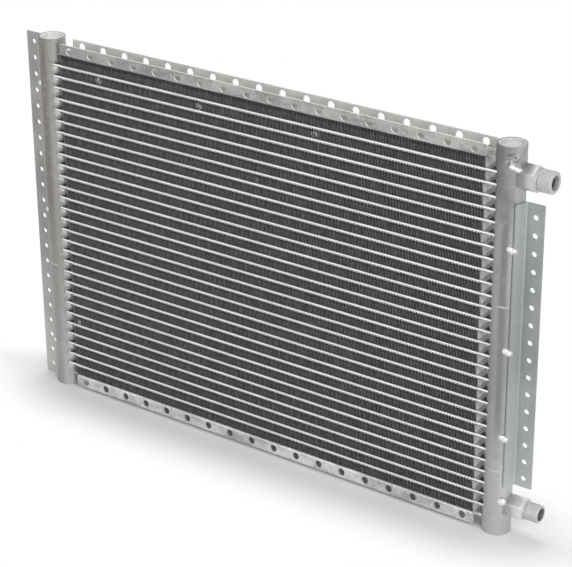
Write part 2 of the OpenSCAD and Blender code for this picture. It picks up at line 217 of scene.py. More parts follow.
class Finish:
    """One procedural material on a Principled shader, made node by node."""

    def __init__(self, name):
        self.material = bpy.data.materials.new(name)
        self.material.use_nodes = True
        self.tree = self.material.node_tree
        self.tree.nodes.clear()
        self.shader = self.tree.nodes.new("ShaderNodeBsdfPrincipled")
        self.output = self.tree.nodes.new("ShaderNodeOutputMaterial")
        self.tree.links.new(self.shader.outputs[0], self.output.inputs["Surface"])
        self.place = self.node("ShaderNodeTexCoord").outputs["Object"]

    def node(self, kind, settings=None, values=None):
        """Adds a node of a type, sets its settings, then its socket values or links."""
        made = self.tree.nodes.new(kind)
        for key, value in (settings or {}).items():
            setattr(made, key, value)
        for key, value in (values or {}).items():
            self.put(made.inputs[key], value)
        return made

    def put(self, socket, value):
        """Links a level or a socket to a socket, or sets a number, a vector or a colour on it."""
        if isinstance(value, Level):
            self.tree.links.new(value.socket, socket)
        elif isinstance(value, bpy.types.NodeSocket):
            self.tree.links.new(value, socket)
        elif socket.type == "RGBA":
            socket.default_value = (*value[:3], 1.0)
        else:
            socket.default_value = value

    def grain(self, scale, detail=3.0, stretch=(1.0, 1.0, 1.0), rough=0.5, shift=(0.0, 0.0, 0.0)):
        """Noise between 0 and 1 on Object coordinates, stretched along the axes."""
        spot = self.node("ShaderNodeMapping", None,
                         {"Vector": self.place, "Scale": stretch, "Location": shift}).outputs[0]
        noise = self.node("ShaderNodeTexNoise", None,
                          {"Vector": spot, "Scale": scale, "Detail": detail, "Roughness": rough})
        return Level(self.tree, noise.outputs["Fac"])

    def along(self, axis):
        """The Object coordinate along one axis, in metres."""
        parts = self.node("ShaderNodeSeparateXYZ", None, {"Vector": self.place})
        return Level(self.tree, parts.outputs[axis])

    def off_axis(self, y, z):
        """Distance from a line along X through a place in Y and Z, in metres."""
        kind = "ShaderNodeVectorMath"
        moved = self.node(kind, {"operation": "SUBTRACT"}, {0: self.place, 1: (0.0, y, z)})
        flat = self.node(kind, {"operation": "MULTIPLY"}, {0: moved.outputs[0], 1: (0.0, 1.0, 1.0)})
        far = self.node(kind, {"operation": "LENGTH"}, {0: flat.outputs[0]})
        return Level(self.tree, far.outputs["Value"])

    def near(self, point, radius, core=0.4):
        """Is 1 within a core share of a radius from a point, and falls to 0 at the radius."""
        far = self.node(
            "ShaderNodeVectorMath", {"operation": "DISTANCE"}, {0: self.place, 1: point})
        return self.fade(Level(self.tree, far.outputs["Value"]), radius * core, radius, 1.0, 0.0)

    def between(self, value, start, end, soft):
        """Is 1 where a value lies between start and end, and fades over twice soft at each."""
        begun = self.fade(value, start - soft, start + soft)
        return begun * self.fade(value, end - soft, end + soft, 1.0, 0.0)

    def fade(self, value, low, high, start=0.0, end=1.0):
        """Runs from start to end as a value goes from low to high, and is held outside."""
        spread = self.node("ShaderNodeMapRange", {"interpolation_type": "SMOOTHSTEP"}, {
            "Value": value, "From Min": low, "From Max": high, "To Min": start, "To Max": end})
        return Level(self.tree, spread.outputs[0])

    def blend(self, share, first, second):
        """Mixes two colours by a share."""
        settings = {"data_type": "RGBA", "blend_type": "MIX", "clamp_factor": True}
        mix = self.node("ShaderNodeMix", settings, {0: share, 6: first, 7: second})
        return mix.outputs[2]

    def bump(self, height, distance, strength):
        """A Bump node on a height, in metres."""
        values = {"Height": height, "Distance": distance, "Strength": strength}
        return self.node("ShaderNodeBump", None, values).outputs[0]

    def finish(self, colour, rough, metallic, normal=None):
        """Puts colour, roughness, metal share and normal on the shader and gives the material."""
        inputs = self.shader.inputs
        self.put(inputs["Base Color"], colour)
        self.put(inputs["Roughness"], rough)
        self.put(inputs["Metallic"], metallic)
        if normal is not None:
            self.put(inputs["Normal"], normal)
        return self.material


def shade(colour, by):
    """A colour made lighter or darker by a factor, or by a factor for each part."""
    parts = by if isinstance(by, tuple) else (by, by, by)
    return tuple(min(1.0, c * p) for c, p in zip(colour, parts))


# Fixed tones, in linear values: painted highlights at the header slots and bent fins, on braze
# fillets and nicks, and on cut sheet; painted light on the lower half of a tube's edge and on the
# last walls of a fin strip; painted shade inside the plates' channels
GLINT, FILLET_GLINT, CUT_EDGE_GLINT = (0.85, 0.86, 0.86), (0.8, 0.81, 0.81), (0.86, 0.87, 0.87)
TUBE_EDGE_LIGHT, END_WALL_LIGHT, CHANNEL_SHADE = (0.95, 0.95, 0.95), (0.96, 0.97, 0.97), (0.04, 0.04, 0.04)
# Upright strips of painted light and shade on each header, lighter or darker where more or less
# light falls: first and last place along X from the axis, width of the soft edges, lowest and
# highest end, share of the mix, colour factor
HEADER_LIGHT_AND_SHADE = {
    "left_header": ((-0.02, 0.003, 0.003, -0.1, 0.4, 0.5, (0.6, 0.58, 0.55)),
                    (-0.02, 0.0015, 0.003, 0.17, 0.4, 0.75, (0.56, 0.52, 0.48)),
                    (-0.02, 0.02, 0.003, 0.02, 0.14, 0.35, 1.0),
                    (0.0075, 0.02, 0.003, -0.1, 0.4, 0.3, 1.5),
                    (0.0045, 0.02, 0.002, 0.2, 0.4, 0.28, (1.5, 1.52, 1.53))),
    "right_header": ((-0.02, 0.02, 0.003, 0.09, 0.29, 0.27, 1.85),
                     (-0.02, -0.001, 0.002, 0.19, 0.3, 0.36, 1.9),
                     (0.001, 0.02, 0.004, 0.05, 0.4, 0.22, 1.9),
                     (0.001, 0.0066, 0.002, 0.1, 0.31, 0.75, 0.66),
                     (0.007, 0.02, 0.002, 0.22, 0.3, 0.5, 1.9),
                     (0.0075, 0.02, 0.002, 0.03, 0.085, 0.8, 2.3),
                     (-0.02, 0.001, 0.003, 0.312, 0.4, 0.5, 0.55),
                     (0.0095, 0.02, 0.002, 0.29, 0.4, 0.5, 2.0)),
}
# Scorched place on the right header above the inlet weld
SCORCH = (0.2467, -0.0106, 0.3454)
# Distances from a header's inner side, along X, between which a painted highlight brightens its
# wall at the slots
SLOT_HIGHLIGHT = {"left_header": (-0.0034, -0.0014), "right_header": (0.004, 0.0005)}
# How far that painted highlight reaches past the uppermost and the lowest tube
SLOT_REACH = 0.0035
# Distances from a header's axis between which the leg of its bracket ends, and with it the
# painted light on the leg
LEG_END = (0.0158, 0.017)
# Inset and half width of the soft edges of a plate's cut edge, soft width at its bend, hair's width
CUT_INSET, CUT_SOFT, BEND_SOFT, HAIR = 0.000175, 0.000125, 0.0002, 0.0001


def header_finish(name, colour, foot, slots):
    """Dull drawn tube: fine upright lines, oven stains, painted light at the foot, painted
    highlights at the slots, painted shade towards the top and painted light and shade in upright
    strips.

    Slots is the place along X at which a painted highlight brightens the dull wall towards the
    tubes, as a pair from dull to bright.
    """
    f = Finish(name)
    low, high = corners(name)
    axis = (low[0] + high[0]) / 2
    cloud = f.grain(34.0, 5.0, rough=0.6)
    stain = f.grain(150.0, 4.0, stretch=(1.0, 1.0, 0.5), shift=(3.0, 1.0, 2.0), rough=0.6)
    speck = f.grain(620.0, 3.0, shift=(1.0, 6.0, 3.0))
    lines = f.grain(900.0, 2.0, stretch=(1.0, 1.0, 0.02))
    height, across = f.along("Z"), f.along("X")
    upper = f.fade(height, 0.22, 0.33, 0.35, 1.0)
    # Painted light: the header turns lighter towards its foot
    tone = f.blend(f.fade(height, 0.0, 0.16, 1.0, 0.0), colour, foot)
    tone = f.blend(f.fade(cloud, 0.35, 0.68, 0.0, 0.3), tone, shade(colour, 1.45))
    # Painted shade: darker towards the top
    tone = f.blend(f.fade(height, 0.16, 0.34, 0.0, 0.3), tone, shade(colour, 0.62))
    # Painted light and shade in upright strips
    for first, last, soft, bottom, top, share, by in HEADER_LIGHT_AND_SHADE[name]:
        strip = f.between(across, axis + first, axis + last, soft)
        strip = strip * f.between(height, bottom, top, 0.025)
        tone = f.blend(strip * (0.6 + 0.6 * cloud) * share, tone, shade(colour, by))
    tone = f.blend(f.fade(stain, 0.52, 0.7) * upper * 0.55, tone, shade(colour, (0.7, 0.66, 0.6)))
    tone = f.blend(f.fade(stain, 0.32, 0.46, 1.0, 0.0) * upper * 0.35, tone, shade(colour, 1.8))
    pale = f.fade(speck, 0.6, 0.74) * f.fade(height, 0.1, 0.24) * 0.4
    tone = f.blend(pale, tone, shade(colour, 2.0))
    if name == "right_header":
        scorch = f.near(SCORCH, 0.008)
        flake = f.grain(330.0, 2.0, shift=(2.0, 3.0, 8.0))
        tone = f.blend(scorch * f.fade(flake, 0.5, 0.6) * 0.8, tone, shade(colour, 0.3))
        tone = f.blend(scorch * f.fade(flake, 0.36, 0.44, 1.0, 0.0) * 0.8, tone, shade(colour, 2.6))
    top, bottom = corners("flat_tube_1")[1][2], corners("flat_tube_29")[0][2]
    # Painted highlight: the wall by the tube slots turns bright
    glow = f.fade(across, *slots)
    glow = glow * f.between(height, bottom - SLOT_REACH, top + SLOT_REACH, 0.0015)
    tone = f.blend(glow * 0.6, tone, GLINT)
    normal = f.bump(lines + cloud * 1.5 + speck * 0.6, 0.00012, 0.35)
    return f.finish(tone, 0.34 + 0.16 * stain + 0.06 * lines, 0.4, normal)


def bracket_finish(name, colour, axis):
    """Cut strip: faint rolling lines along its height, a few scuffs, and painted light and shade: a
    lighter leg on the header, a darker middle and a lighter foot.

    The leg is where the place along X is nearer to the header axis than the fold.
    """
    f = Finish(name)
    cloud = f.grain(26.0, 4.0)
    lines = f.grain(700.0, 2.0, stretch=(1.0, 1.0, 0.015))
    scuff = f.grain(300.0, 3.0, stretch=(1.0, 1.0, 0.3), shift=(5.0, 2.0, 0.0))
    height, across = f.along("Z"), f.along("X")
    tone = f.blend(f.fade(cloud, 0.36, 0.66), shade(colour, 0.86), shade(colour, 1.1))
    # Painted light: the leg on the header is lighter
    tone = f.blend(f.fade(abs(across - axis), *LEG_END, 0.7, 0.0), tone, shade(colour, 1.3))
    tone = f.blend(f.fade(lines, 0.5, 0.7) * 0.3, tone, shade(colour, 0.8))
    tone = f.blend(f.fade(scuff, 0.6, 0.76) * 0.6, tone, shade(colour, 1.4))
    # Painted shade: a darker band at middle height
    tone = f.blend(f.between(height, 0.15, 0.24, 0.03) * 0.3, tone, shade(colour, 0.75))
    # Painted light: lighter towards the foot
    tone = f.blend(f.fade(height, 0.0, 0.14, 0.8, 0.0), tone, shade(colour, 1.6))
    normal = f.bump(lines + scuff * 0.6, 0.0001, 0.3)
    return f.finish(tone, 0.38 + 0.14 * cloud + 0.05 * lines, 0.4, normal)


def plate_finish(name, colour, up):
    """Rolled sheet: lines along it, cloudy satin, painted light on the back flange and painted
    highlights on the cut edges.

    The cut edges are where the depth lies inside the sheet of a flange, clear of the bend. Painted
    shade darkens the bottom of the channel that opens upwards and the whole inside of the other.
    """
    f = Finish(name)
    low, high = corners(name)
    sheet, bend = PLATE_SHEET, PLATE_BEND
    cloud = f.grain(55.0, 6.0, stretch=(0.6, 1.0, 1.0), rough=0.65)
    lines = f.grain(800.0, 2.0, stretch=(0.015, 1.0, 1.0))
    specks = f.grain(420.0, 2.0, shift=(1.0, 4.0, 2.0))
    depth, height = f.along("Y"), f.along("Z")
    tone = f.blend(f.fade(cloud, 0.34, 0.66), shade(colour, 0.72), shade(colour, 1.28))
    tone = f.blend(f.fade(specks, 0.6, 0.74) * 0.6, tone, shade(colour, 0.55))
    tone = f.blend(f.fade(specks, 0.28, 0.42, 1.0, 0.0) * 0.6, tone, shade(colour, 1.7))
    if up:
        # Painted shade: the top plate turns darker towards its left end
        left = f.fade(f.along("X"), low[0], low[0] + 0.25, 0.35, 0.0)
        tone = f.blend(left, tone, shade(colour, 0.6))
    # Painted light: the back flange is lighter
    tone = f.blend(f.fade(depth, 0.0, 0.008, 0.0, 0.88), tone, shade(colour, 2.6))
    fins = corners("fin_pack_1")
    inside = f.between(depth, low[1] + sheet - HAIR, high[1] - sheet + HAIR, HAIR)
    inside = inside * f.between(f.along("X"), fins[0][0], fins[1][0], 0.002)
    # Painted shade inside the channel
    if up:
        channel_shade = f.fade(height, low[2] + sheet + 0.0005, low[2] + sheet + 0.004, 0.28, 0.0)
        clear = f.fade(height, low[2] + bend - BEND_SOFT, low[2] + bend + BEND_SOFT)
    else:
        channel_shade = f.fade(height, high[2] - sheet + HAIR, high[2] - sheet + 3 * HAIR, 0.8, 0.0)
        clear = f.fade(height, high[2] - bend + BEND_SOFT, high[2] - bend - BEND_SOFT)
    tone = f.blend(inside * channel_shade, tone, CHANNEL_SHADE)
    # Painted highlight on the cut edges and hole walls of the flanges
    near = f.between(depth, low[1] + CUT_INSET, low[1] + sheet - CUT_INSET, CUT_SOFT)
    far = f.between(depth, high[1] - sheet + CUT_INSET, high[1] - CUT_INSET, CUT_SOFT)
    tone = f.blend((near + far) * clear, tone, CUT_EDGE_GLINT)
    normal = f.bump(lines + cloud, 0.0001, 0.3)
    return f.finish(tone, 0.34 + 0.16 * cloud, 0.45, normal)


def from_tube(f):
    """Height above the middle of the nearest flat tube: the height wrapped to one tube pitch."""
    upper, lower = (float(sum(corners(node))[2]) / 2 for node in ("flat_tube_1", "flat_tube_2"))
    half = (upper - lower) / 2
    wrapped = f.node("ShaderNodeMath", {"operation": "WRAP"},
                     {0: f.along("Z") - upper, 1: half, 2: -half})
    return Level(f.tree, wrapped.outputs[0])


def flat_tube_finish(colour):
    """Extruded tube: a clean light front edge, faint lines along it and flats darkened by painted
    shade.

    Painted light brightens the lower half of each edge. Painted shade turns the flats darker from
    the ends of the fins towards the headers.
    """
    f = Finish("extruded_tube")
    cloud = f.grain(60.0, 4.0, stretch=(0.4, 1.0, 1.0))
    lines = f.grain(1500.0, 2.0, stretch=(0.01, 1.0, 1.0))
    tone = f.blend(f.fade(cloud, 0.35, 0.7), shade(colour, 0.9), shade(colour, 1.08))
    # Painted light: the lower half of each front edge is brighter
    tone = f.blend(f.fade(from_tube(f), -0.001, 0.0002, 0.8, 0.0), tone, TUBE_EDGE_LIGHT)
    low, high = corners("fin_pack_1")
    flats = f.fade(float(high[1]) - abs(f.along("Y")), 0.0005, 0.0011)
    across = f.along("X")
    # Painted shade: the flats are darker than the edge
    tone = f.blend(flats, tone, shade(colour, 0.7))
    # Painted shade: the flats turn dark between the fin ends and the headers
    right_end_shade = f.fade(across, high[0] + 0.0025, high[0] + 0.0045)
    left_end_shade = f.fade(across, low[0] - 0.003, low[0], 1.0, 0.0)
    tone = f.blend(flats * (right_end_shade + left_end_shade), tone, shade(colour, 0.08))
    normal = f.bump(lines, 0.00006, 0.3)
    return f.finish(tone, 0.34 + 0.14 * cloud, 0.5, normal)


def fin_finish(colour, edge):
    """Thin fin sheet: painted shade in walls that darken with depth and in dark folds below a tube,
    painted light on the end walls.

    The rise attribute runs from 0 at a trough to 1 at a crest, and the tip attribute is 1 on the
    last wall at each end. Inset is the distance from the nearer of the front and back edges. Bent
    fins, nicks and the bright braze fillets below the tubes carry painted highlights.
    """
    f = Finish("fin_sheet")
    low, high = corners("fin_pack_1")
    fine = f.grain(300.0, 4.0, stretch=(1.0, 1.0, 0.4), shift=(2.0, 0.0, 5.0), rough=0.65)
    coarse = f.grain(900.0, 2.0, shift=(6.0, 1.0, 4.0))
    louvre = f.node("ShaderNodeTexWave", {"wave_type": "BANDS", "bands_direction": "Y"},
                    {"Vector": f.place, "Scale": 160.0, "Distortion": 0.4})
    rise = Level(f.tree, f.node("ShaderNodeAttribute", {"attribute_name": "rise"}).outputs["Fac"])
    inset = float(high[1]) - abs(f.along("Y"))
    tip = Level(f.tree, f.node("ShaderNodeAttribute", {"attribute_name": "tip"}).outputs["Fac"])
    tone = f.blend(f.fade(fine, 0.3, 0.75), shade(colour, 0.75), shade(colour, 1.35))
    # Painted shade: walls darken with depth
    tone = f.blend(f.fade(inset, 0.001, 0.0035), tone, shade(colour, 0.35))
    # Painted shade: dark folds just below each tube
    under_tube_shade = f.fade(rise, 0.6, 0.85)
    tone = f.blend(under_tube_shade * f.fade(rise, 0.97, 0.995, 1.0, 0.0), tone, shade(colour, 0.12))
    # The front edges take the edge tone, partly cut metal and partly painted light
    cut = f.fade(inset, 0.0001, 0.0004, 1.0, 0.0)
    tone = f.blend(cut * (0.09 + 0.2 * f.fade(fine, 0.4, 0.7)), tone, edge)
    top = float(corners("flat_tube_1")[1][2])
    # Painted highlight on the bright braze fillets below the tubes
    fillet = f.between(from_tube(f), -0.0016, 0.0, 0.0004)
    fillet = fillet * f.fade(f.along("Z"), top, top + 0.001, 1.0, 0.0)
    tone = f.blend(fillet * f.fade(inset, 0.0008, 0.0016, 0.8, 0.0), tone, FILLET_GLINT)
    # Painted highlights on the nicks
    for x, z, wide, tall, share in NICKS:
        nick = f.between(f.along("X"), x - wide, x + wide, 0.0003)
        nick = nick * f.between(f.along("Z"), z - tall, z + tall, 0.0006)
        front = f.fade(f.along("Y"), low[1] + 0.001, low[1] + 0.002, share, 0.0)
        tone = f.blend(nick * front, tone, FILLET_GLINT)
    # Painted highlights on the bent fins
    for x, z, _ in BENT_FINS:
        bent_glint = f.near((x, low[1], z), 0.0048) * f.fade(coarse, 0.4, 0.6)
        tone = f.blend(bent_glint, tone, GLINT)
    # Painted light on the last wall at each end: dim at the front edge, bright further in, with
    # darker mottling
    wall = f.blend(f.fade(inset, 0.0004, 0.0045), shade(edge, 0.5), END_WALL_LIGHT)
    wall = f.blend(f.fade(coarse, 0.52, 0.62) * 0.5, wall, shade(edge, 0.5))
    tone = f.blend(f.fade(tip, 0.3, 0.9), tone, wall)
    normal = f.bump(Level(f.tree, louvre.outputs["Fac"]), 0.0003, 0.5)
    return f.finish(tone, 0.4 + 0.2 * fine, 0.35, normal)


def cap_finish(name, colour):
    """Pressed cap: bright metal with soft cloudy marks."""
    f = Finish(name)
    cloud = f.grain(160.0, 3.0)
    tone = f.blend(f.fade(cloud, 0.35, 0.7), shade(colour, 0.9), shade(colour, 1.1))
    normal = f.bump(cloud, 0.00015, 0.3)
    return f.finish(tone, 0.28 + 0.14 * cloud, 0.5, normal)


def fitting_finish(name, colour, thread, hex_end, axis, bore, mouth, inner):
    """Turned bar: fine rings round the axis, handling marks, another tone on the thread, painted
    shade in the bore.

    The mouth, between the radius of the bore and its own, has lighter painted shade than the bore.
    """
    f = Finish(name)
    cloud = f.grain(90.0, 4.0)
    rings = f.grain(2600.0, 1.0, stretch=(1.0, 0.03, 0.03))
    scuff = f.grain(420.0, 3.0, shift=(7.0, 1.0, 1.0))
    threaded = f.fade(f.along("X"), hex_end - 0.0004, hex_end + 0.0004)
    tone = f.blend(threaded, colour, thread)
    tone = f.blend(f.fade(cloud, 0.35, 0.68, 0.25, 0.0), tone, shade(colour, 0.6))
    tone = f.blend(f.fade(scuff, 0.6, 0.76) * 0.5, tone, shade(colour, 1.5))
    out = f.off_axis(*axis)
    # Painted shade in the mouth and, darker, in the bore
    tone = f.blend(f.fade(out, mouth - 0.0004, mouth, 0.65, 0.0), tone, inner)
    tone = f.blend(f.fade(out, bore, bore + 0.0003, 1.0, 0.0), tone, inner)
    normal = f.bump(rings + cloud * 2.0, 0.00003, 0.3)
    return f.finish(tone, 0.34 + 0.16 * cloud + 0.22 * threaded, 0.45, normal)


def weld_finish(colour):
    """Weld metal: bright, with ripples and a few dull oxide spots."""
    f = Finish("weld_metal")
    ripple = f.grain(520.0, 3.0)
    oxide = f.grain(300.0, 4.0, shift=(4.0, 4.0, 0.0))
    tone = f.blend(f.fade(oxide, 0.52, 0.72), colour, shade(colour, 0.42))
    normal = f.bump(ripple, 0.0006, 0.6)
    return f.finish(tone, 0.24 + 0.2 * oxide, 0.5, normal)


def baffle_finish(colour):
    """Plain cut sheet of the baffles."""
    f = Finish("baffle_sheet")
    cloud = f.grain(200.0, 3.0)
    tone = f.blend(f.fade(cloud, 0.35, 0.7), shade(colour, 0.85), shade(colour, 1.1))
    return f.finish(tone, 0.4 + 0.2 * cloud, 0.6, f.bump(cloud, 0.0001, 0.3))


def dress(nodes, material):
    """Gives the solids of the listed nodes a material."""
    for name in nodes:
        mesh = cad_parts[name].data
        mesh.materials.clear()
        mesh.materials.append(material)


def lattice(rows, columns, round_rows=False):
    """Quads of a grid of points, row by row, whose columns close on themselves.

    Point (i, j) has number i * columns + j. With round_rows the last row joins the first.
    """
    i = np.arange(rows if round_rows else rows - 1)[:, None]
    j = np.arange(columns)[None, :]
    a = i * columns + j
    b = i * columns + (j + 1) % columns
    c = (i + 1) % rows * columns + (j + 1) % columns
    d = (i + 1) % rows * columns + j
    return np.stack([a, b, c, d], -1).reshape(-1, 4)


def volume(points, quads):
    """Signed volume of a closed shell of quads, positive when they face outwards."""
    p = points - points.mean(0)
    a, b, c, d = (p[quads[:, k]] for k in range(4))
    return float((a * (np.cross(b, c) + np.cross(c, d))).sum()) / 6.0


def piece(name, points, quads, material, slot, **marks):
    """Makes one mesh object from arrays, rides it on the body and gives it its finish.

    Marks are arrays with a number for each point, kept as attributes of the points.
    """
    if volume(points, quads) < 0:
        quads = quads[:, ::-1]
    mesh = bpy.data.meshes.new(name)
    mesh.vertices.add(len(points))
    mesh.vertices.foreach_set("co", np.ascontiguousarray(points, np.float32).ravel())
    mesh.loops.add(quads.size)
    mesh.loops.foreach_set("vertex_index", np.ascontiguousarray(quads, np.int32).ravel())
    mesh.polygons.add(len(quads))
    mesh.polygons.foreach_set("loop_start", np.arange(0, quads.size, 4, dtype=np.int32))
    mesh.update(calc_edges=True)
    if mesh.validate():
        raise RuntimeError(f"{name} has faces that are not valid")
    for mark, values in marks.items():
        kept = mesh.attributes.new(mark, "FLOAT", "POINT")
        kept.data.foreach_set("value", np.ascontiguousarray(values, np.float32))
    made = bpy.data.objects.new(name, mesh)
    bpy.context.scene.collection.objects.link(made)
    made.data.materials.append(material)
    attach(made, "root")
    return made


def folded_strip(low, high, sizes, chance, bends):
    """Points and quads of one folded fin strip, with the rise and the tip of each point.

    The middle line is a trapezium wave: it runs flat along a crest, down a wall, flat along the
    next trough and up again, with each crest a little off its even place. Half the thickness,
    which grows from the sheet at a trough to the fillet at a crest, is laid off along the normal
    on each side, and the section is carried through the depth in three lines, of which the front
    one leans sideways at the listed bends.
    """
    half = 2 * int(round((high[0] - low[0]) / sizes.fold_pitch))
    step = (high[0] - low[0]) / half
    k = np.arange(half + 1)
    middle = low[0] + step * k
    middle[1:-1] += chance.uniform(-1, 1, half - 1) * sizes.fin_waver
    flat = step * sizes.fin_crest / 2
    x = np.stack([middle - flat, middle + flat], 1).ravel()
    x = np.clip(x, low[0], high[0])
    half_t = np.repeat(np.where(k % 2 == 0, sizes.fin_sheet, sizes.fin_fillet), 2) / 2
    z = np.where(np.repeat(k % 2 == 0, 2), low[2] + half_t, high[2] - half_t)
    run = np.stack([np.gradient(x), np.gradient(z)], 1)
    run /= np.linalg.norm(run, axis=1, keepdims=True)
    normal = np.stack([-run[:, 1], run[:, 0]], 1) * half_t[:, None]
    upper = np.stack([x, z], 1) + normal
    lower = np.stack([x, z], 1) - normal
    for side in (upper, lower):
        side[:, 0] = np.clip(side[:, 0], low[0], high[0])
        side[:, 1] = np.clip(side[:, 1], low[2], high[2])
    near, far = low[1], high[1]
    depths = (near, near + BEND_DEPTH, far)
    lean = np.zeros_like(x)
    for at, _, push in bends:
        lean += push * np.exp(-((x - at) / BEND_WIDTH) ** 2)
    rings = []
    for side, order in ((upper, (0, 1, 2)), (lower, (2, 1, 0))):
        for layer in order:
            shift = lean if layer == 0 else 0.0
            depth = np.full(len(x), depths[layer])
            rings.append(np.stack([side[:, 0] + shift, depth, side[:, 1]], 1))
    points = np.stack(rings, 1)
    count = len(x)
    ring = len(rings)
    first = np.array([[0, 1, 4, 5], [1, 2, 3, 4]])
    last = first[:, ::-1] + (count - 1) * ring
    quads = np.concatenate([lattice(count, ring), first, last])
    rise = np.repeat((k + 1) % 2 == 0, 2).astype(float)
    order = np.arange(count)
    tip = (np.minimum(order, count - 1 - order) < TIP_POINTS).astype(float)
    return points.reshape(-1, 3), quads, np.repeat(rise, ring), np.repeat(tip, ring)


class COIL_OT_fold_fins(bpy.types.Operator):
    """Folds the fin strips of each pass and puts them in place of the plain ones"""

    bl_idname = "coil.fold_fins"
    bl_label = "Fold Fins"

    def execute(self, context):
        sizes = context.scene.coil_sizes
        colours = context.scene.coil_colours
        material = fin_finish(colours.fin, colours.fin_edge)
        first_low, first_high = corners("flat_tube_1")
        second_low, _ = corners("flat_tube_2")
        pitch = first_low[2] - second_low[2]
        gap = pitch - (first_high[2] - first_low[2])
        chance = np.random.default_rng(SEED)
        for number, name in enumerate(PACKS):
            low, high = corners(name)
            rows = int(round((high[2] - low[2] - gap) / pitch)) + 1
            all_points, all_quads, all_rise, all_tip, start = [], [], [], [], 0
            for row in range(rows):
                bottom = low.copy()
                top = high.copy()
                bottom[2] = low[2] + row * pitch
                top[2] = bottom[2] + (high[2] - low[2]) - (rows - 1) * pitch
                if row % FULL_ROW_EVERY:
                    top[0] -= chance.uniform(0.0, sizes.fin_short)
                bends = BENT_FINS if number == 0 and row == rows - 2 else ()
                points, quads, rise, tip = folded_strip(bottom, top, sizes, chance, bends)
                all_points.append(points)
                all_quads.append(quads + start)
                all_rise.append(rise)
                all_tip.append(tip)
                start += len(points)
            made = piece(f"folded_{name}", np.concatenate(all_points), np.concatenate(all_quads),
                         material, "fin_aluminium", rise=np.concatenate(all_rise),
                         tip=np.concatenate(all_tip))
            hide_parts(name)
        return {"FINISHED"}


# Of each fitting, in metres: end of the hexagon from the header's axis, thread radius, bore radius,
# mouth radius, mouth depth
FITTINGS = {"inlet_fitting": (0.025, 0.009525, 0.004, 0.0065, 0.003),
            "outlet_fitting": (0.0275, 0.00795, 0.0055, 0.006, 0.0005)}
# Of both fittings, in metres: drop of the neck below the crest, its length, wall of the spigot
NECK_DROP, NECK_LENGTH, SPIGOT_WALL = 0.0011, 0.0019, 0.0013
# Chamfers of the hexagon and of the thread's end
HEX_CHAMFER, END_CHAMFER = 0.0012, 0.0009
# How far the hexagon's chamfer starts past the corners and ends inside the flats
CONE_OVER, CONE_UNDER = 0.001, 0.0005
# Gap to the header's wall, and least height of the thread's root over the neck
WALL_GAP, ROOT_OVER = 0.00002, 0.00004
# Length over which the thread rises, room left past its last ring, drop of the end face's rim
RUN_IN, LAST_RING, RIM_DROP = 0.0012, 0.0004, 0.00095
# Depth of a thread as a share of its pitch, shares of half a turn that are crest and flank
THREAD_DEPTH, CREST_SHARE, FLANK_SHARE = 0.3, 0.15, 0.75
# Steps round the axis and along one turn
ROUND_STEPS, TURN_STEPS = 96, 8
# Painted shade inside each bore
BORE_SHADES = {"inlet_fitting": (0.05, 0.05, 0.05), "outlet_fitting": (0.14, 0.14, 0.14)}


def turned_fitting(node, thread_pitch, header, material):
    """A fitting as one closed surface: hexagon, neck, helical thread, chamfer, bore and spigot.

    Each point is set by an angle round the axis and a place along the outline. The outline starts
    at the header wall, follows the hexagon, whose radius at an angle is its half width over a
    cosine, then the neck and the thread, whose radius falls from the crest by a triangle wave of
    the place along the axis less the pitch times the turn, and comes back through the bore and
    the spigot.
    """
    low, high = corners(node)
    axis_x, wall = header
    hex_end, crest, bore, mouth, mouth_depth = FITTINGS[node]
    cy, cz = (low[1] + high[1]) / 2, (low[2] + high[2]) / 2
    flat = (high[1] - low[1]) / 2
    end = high[0] - axis_x
    neck = crest - NECK_DROP
    spigot = bore + SPIGOT_WALL
    start = low[0] - axis_x
    half_side = np.radians(30.0)
    turn = half_side + np.linspace(0, 2 * np.pi, ROUND_STEPS, endpoint=False)
    six = flat / np.cos((turn - half_side) % (2 * half_side) - half_side)
    level = np.ones_like(turn)

    def coped(radius):
        """Distance from the header axis to its wall, at a radius from the fitting axis."""
        y = cy + radius * np.cos(turn)
        return np.sqrt(np.maximum(wall ** 2 - y ** 2, 0.0)) + WALL_GAP

    rings = [(coped(six), six)]
    widest = flat / np.cos(half_side) + CONE_OVER
    for share in (0.0, 0.25, 0.5, 0.75, 1.0):
        cone = widest + share * (flat - CONE_UNDER - widest)
        rings.append(((hex_end - HEX_CHAMFER + HEX_CHAMFER * share) * level, np.minimum(six, cone)))
    thread_start = hex_end + NECK_LENGTH
    rings += [(hex_end * level, neck * level), (thread_start * level, neck * level)]
    depth = THREAD_DEPTH * thread_pitch
    for x in np.arange(thread_start, end - LAST_RING, thread_pitch / TURN_STEPS):
        wave = np.abs(((x / thread_pitch - turn / (2 * np.pi)) % 1.0) - 0.5) * 2.0
        fall = depth * np.clip((wave - CREST_SHARE) / FLANK_SHARE, 0.0, 1.0)
        ramp = np.clip((x - thread_start) / RUN_IN, 0.0, 1.0)
        radius = np.maximum(crest - fall, neck + ROOT_OVER) * ramp + neck * (1 - ramp)
        tip = crest - np.clip(x - (end - END_CHAMFER), 0.0, END_CHAMFER)
        rings.append((x * level, np.minimum(radius, tip)))
    rings += [(end * level, (crest - RIM_DROP) * level), (end * level, mouth * level),
              ((end - mouth_depth) * level, bore * level), (start * level, bore * level),
              (start * level, spigot * level), (coped(spigot * level), spigot * level)]
    x = np.stack([r[0] for r in rings])
    radius = np.stack([r[1] for r in rings])
    points = np.stack([axis_x + x, cy + radius * np.cos(turn), cz + radius * np.sin(turn)], -1)
    quads = lattice(len(rings), len(turn), round_rows=True)
    made = piece(f"turned_{node}", points.reshape(-1, 3), quads, material, "fitting_aluminium")
    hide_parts(node)


